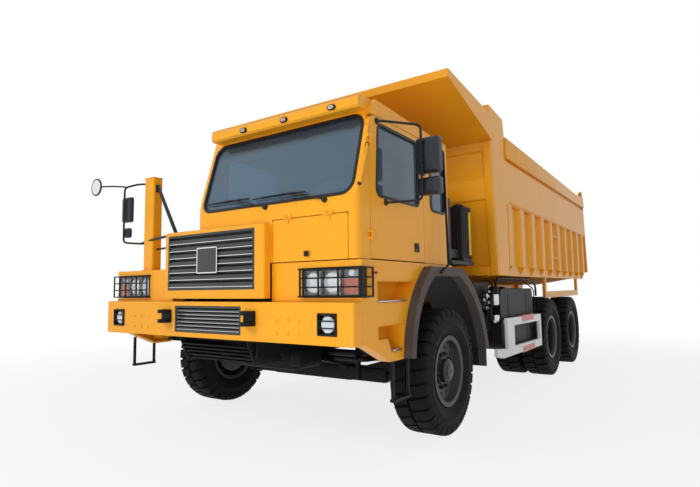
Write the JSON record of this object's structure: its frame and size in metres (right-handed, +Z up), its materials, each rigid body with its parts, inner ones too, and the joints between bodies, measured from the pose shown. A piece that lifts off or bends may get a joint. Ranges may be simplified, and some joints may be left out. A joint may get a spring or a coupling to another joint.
{
  "type": "mining dump truck",
  "caption": "Three-axle mining dump truck with a one-sided flat cab, a tipping bed with a canopy over the cab, and twin rear wheels.",
  "frame": {"origin": "on the ground, on the centre line, half way along the truck's length", "axes": "+Z up, +Y from the bumper to the tailgate, +X to the side of the cab and its door, the truck's left"},
  "size_m": [4.1, 9.4899, 3.744],
  "materials": {
    "yellow_paint": "satin",
    "chassis_paint": "satin",
    "trim_rubber": "matte",
    "tyre": "matte",
    "rim_paint": "satin",
    "grille_plastic": "matte",
    "lamp_lens": "clear",
    "tinted_glass": "polished",
    "mirror_housing": "gloss",
    "interior_plastic": "matte",
    "seat_fabric": "woven",
    "hoist_steel": "ground",
    "guard_steel": "satin",
    "guard_white": "satin",
    "filter_housing": "satin"
  },
  "bodies": {
    "chassis": {"air_cleaner": "filter_housing", "cab_fittings": "interior_plastic", "cab_glass": "tinted_glass", "cab_shell": "yellow_paint", "cab_supports": "chassis_paint", "driveline": "chassis_paint", "engine": "chassis_paint", "fenders": "trim_rubber", "frame_rails": "chassis_paint", "front_axle": "chassis_paint", "front_bumper": "yellow_paint", "grilles": "grille_plastic", "hanging_steps": "guard_steel", "hood": "yellow_paint", "lamp_guards": "guard_steel", "lamps": "lamp_lens", "leaf_springs": "chassis_paint", "mirror_post": "yellow_paint", "mirrors": "mirror_housing", "radiator": "chassis_paint", "rear_axles": "chassis_paint", "seats": "seat_fabric", "service_boxes": "chassis_paint", "side_guards": "guard_white", "side_pod_left": "yellow_paint", "side_pod_right": "yellow_paint", "skid_plate": "chassis_paint", "steering_wheel": "interior_plastic", "step_wells": "yellow_paint", "tanks": "chassis_paint", "tow_jaws": "chassis_paint"},
    "door": {"cab_door": "yellow_paint", "door_glass": "tinted_glass", "door_mirrors": "mirror_housing"},
    "hatch": {"front_hatch": "yellow_paint"},
    "bed": {"bed_floor": "yellow_paint", "bed_beams": "yellow_paint", "bed_side_left": "yellow_paint", "bed_side_right": "yellow_paint", "bed_front": "yellow_paint"},
    "gate": {"tailgate": "yellow_paint"},
    "hoist_barrel": {"hoist_barrel": "yellow_paint"},
    "hoist_stage_1": {"hoist_stage_1": "hoist_steel"},
    "hoist_stage_2": {"hoist_stage_2": "hoist_steel"},
    "hoist_stage_3": {"hoist_stage_3": "hoist_steel"},
    "knuckle_left": {"knuckle_left": "chassis_paint"},
    "knuckle_right": {"knuckle_right": "chassis_paint"},
    "tie_rod": {"tie_rod": "chassis_paint"},
    "wheel_front_left": {"tyre_front_left": "tyre", "rim_front_left": "rim_paint"},
    "wheel_front_right": {"tyre_front_right": "tyre", "rim_front_right": "rim_paint"},
    "wheels_second_left": {"tyres_second_left": "tyre", "rims_second_left": "rim_paint"},
    "wheels_second_right": {"tyres_second_right": "tyre", "rims_second_right": "rim_paint"},
    "wheels_third_left": {"tyres_third_left": "tyre", "rims_third_left": "rim_paint"},
    "wheels_third_right": {"tyres_third_right": "tyre", "rims_third_right": "rim_paint"}
  },
  "joints": [
    {"name": "cab_door_hinge", "type": "hinge", "parent": "chassis", "child": "door", "pos_m": [1.665, -4.345, 2.3], "axis": [0, 0, -1], "range_deg": [0, 70]},
    {"name": "front_hatch_hinge", "type": "hinge", "parent": "chassis", "child": "hatch", "pos_m": [1.15, -4.55, 2.075], "axis": [-1, 0, 0], "range_deg": [0, 75]},
    {"name": "bed_tilt", "type": "hinge", "parent": "chassis", "child": "bed", "pos_m": [0, 3.805, 1.33], "axis": [-1, 0, 0], "range_deg": [0, 48]},
    {"name": "tailgate_hinge", "type": "hinge", "parent": "bed", "child": "gate", "pos_m": [0, 4.485, 3.52], "axis": [1, 0, 0], "range_deg": [0, 75]},
    {"name": "hoist_swing", "type": "hinge", "parent": "chassis", "child": "hoist_barrel", "pos_m": [0, -2.415, 1.15], "axis": [-1, 0, 0], "range_deg": [0, 24]},
    {"name": "hoist_slide_1", "type": "slide", "parent": "hoist_barrel", "child": "hoist_stage_1", "axis": [0, 0.1335, 0.991], "range_m": [0, 1.6069]},
    {"name": "hoist_slide_2", "type": "slide", "parent": "hoist_stage_1", "child": "hoist_stage_2", "axis": [0, 0.1335, 0.991], "range_m": [0, 1.6069]},
    {"name": "hoist_slide_3", "type": "slide", "parent": "hoist_stage_2", "child": "hoist_stage_3", "axis": [0, 0.1335, 0.991], "range_m": [0, 1.6069]},
    {"name": "steer_left", "type": "hinge", "parent": "chassis", "child": "knuckle_left", "pos_m": [1.24, -2.998, 0.625], "axis": [0, 0, 1], "range_deg": [-30, 30]},
    {"name": "steer_right", "type": "hinge", "parent": "chassis", "child": "knuckle_right", "pos_m": [-1.24, -2.998, 0.625], "axis": [0, 0, 1], "range_deg": [-30, 30]},
    {"name": "tie_rod_swing", "type": "hinge", "parent": "knuckle_left", "child": "tie_rod", "pos_m": [1.24, -2.738, 0.51], "axis": [0, 0, 1], "range_deg": [-30, 30]},
    {"name": "spin_front_left", "type": "hinge", "parent": "knuckle_left", "child": "wheel_front_left", "pos_m": [1.5525, -2.998, 0.625], "axis": [1, 0, 0], "continuous": true},
    {"name": "spin_front_right", "type": "hinge", "parent": "knuckle_right", "child": "wheel_front_right", "pos_m": [-1.5525, -2.998, 0.625], "axis": [1, 0, 0], "continuous": true},
    {"name": "spin_second_left", "type": "hinge", "parent": "chassis", "child": "wheels_second_left", "pos_m": [1.403, 1.069, 0.625], "axis": [1, 0, 0], "continuous": true},
    {"name": "spin_second_right", "type": "hinge", "parent": "chassis", "child": "wheels_second_right", "pos_m": [-1.403, 1.069, 0.625], "axis": [1, 0, 0], "continuous": true},
    {"name": "spin_third_left", "type": "hinge", "parent": "chassis", "child": "wheels_third_left", "pos_m": [1.403, 2.714, 0.625], "axis": [1, 0, 0], "continuous": true},
    {"name": "spin_third_right", "type": "hinge", "parent": "chassis", "child": "wheels_third_right", "pos_m": [-1.403, 2.714, 0.625], "axis": [1, 0, 0], "continuous": true}
  ],
  "couplings": [
    {"joint": "hoist_swing", "follows": "bed_tilt", "ratio": 0.5},
    {"joint": "hoist_slide_1", "follows": "bed_tilt", "m_per_rad": 1.918},
    {"joint": "hoist_slide_2", "follows": "bed_tilt", "m_per_rad": 1.918},
    {"joint": "hoist_slide_3", "follows": "bed_tilt", "m_per_rad": 1.918},
    {"joint": "steer_right", "follows": "steer_left", "ratio": 1},
    {"joint": "tie_rod_swing", "follows": "steer_left", "ratio": -1}
  ]
}
